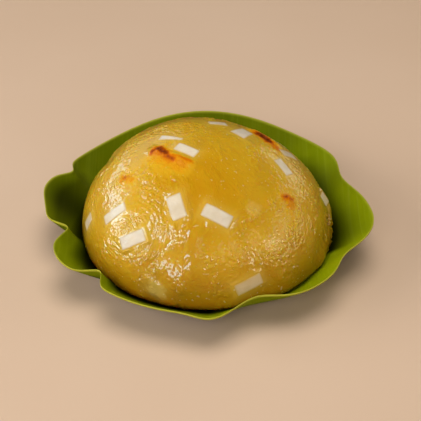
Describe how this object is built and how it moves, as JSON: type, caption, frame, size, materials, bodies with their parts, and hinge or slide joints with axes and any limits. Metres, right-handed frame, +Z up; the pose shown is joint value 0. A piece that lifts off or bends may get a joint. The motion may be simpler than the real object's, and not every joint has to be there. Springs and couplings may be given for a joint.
{
  "type": "coconut halwa on a leaf",
  "caption": "Soft glossy dome of golden coconut halwa with coconut slices set flush in its crinkled, lightly browned skin, resting on a cupped green leaf",
  "frame": {"origin": "the middle of the leaf's flat underside, on the surface that it rests on", "axes": "+Z up; -Y is the front, the side that the picture shows; +X is to the right seen from the front"},
  "size_m": [0.1245, 0.1237, 0.0501],
  "materials": {
    "halwa": "glossy, crinkled",
    "coconut": "satin",
    "leaf": "waxy"
  },
  "bodies": {
    "root": {"leaf": "leaf", "halwa": "halwa", "coconut_slice_01": "coconut", "coconut_slice_02": "coconut", "coconut_slice_03": "coconut", "coconut_slice_04": "coconut", "coconut_slice_05": "coconut", "coconut_slice_06": "coconut", "coconut_slice_07": "coconut", "coconut_slice_08": "coconut", "coconut_slice_09": "coconut", "coconut_slice_10": "coconut", "coconut_slice_11": "coconut", "coconut_slice_12": "coconut", "coconut_slice_13": "coconut", "coconut_slice_14": "coconut", "coconut_slice_15": "coconut", "coconut_slice_16": "coconut", "coconut_slice_17": "coconut", "coconut_slice_18": "coconut", "coconut_slice_19": "coconut", "coconut_slice_20": "coconut", "coconut_slice_21": "coconut"}
  },
  "joints": []
}
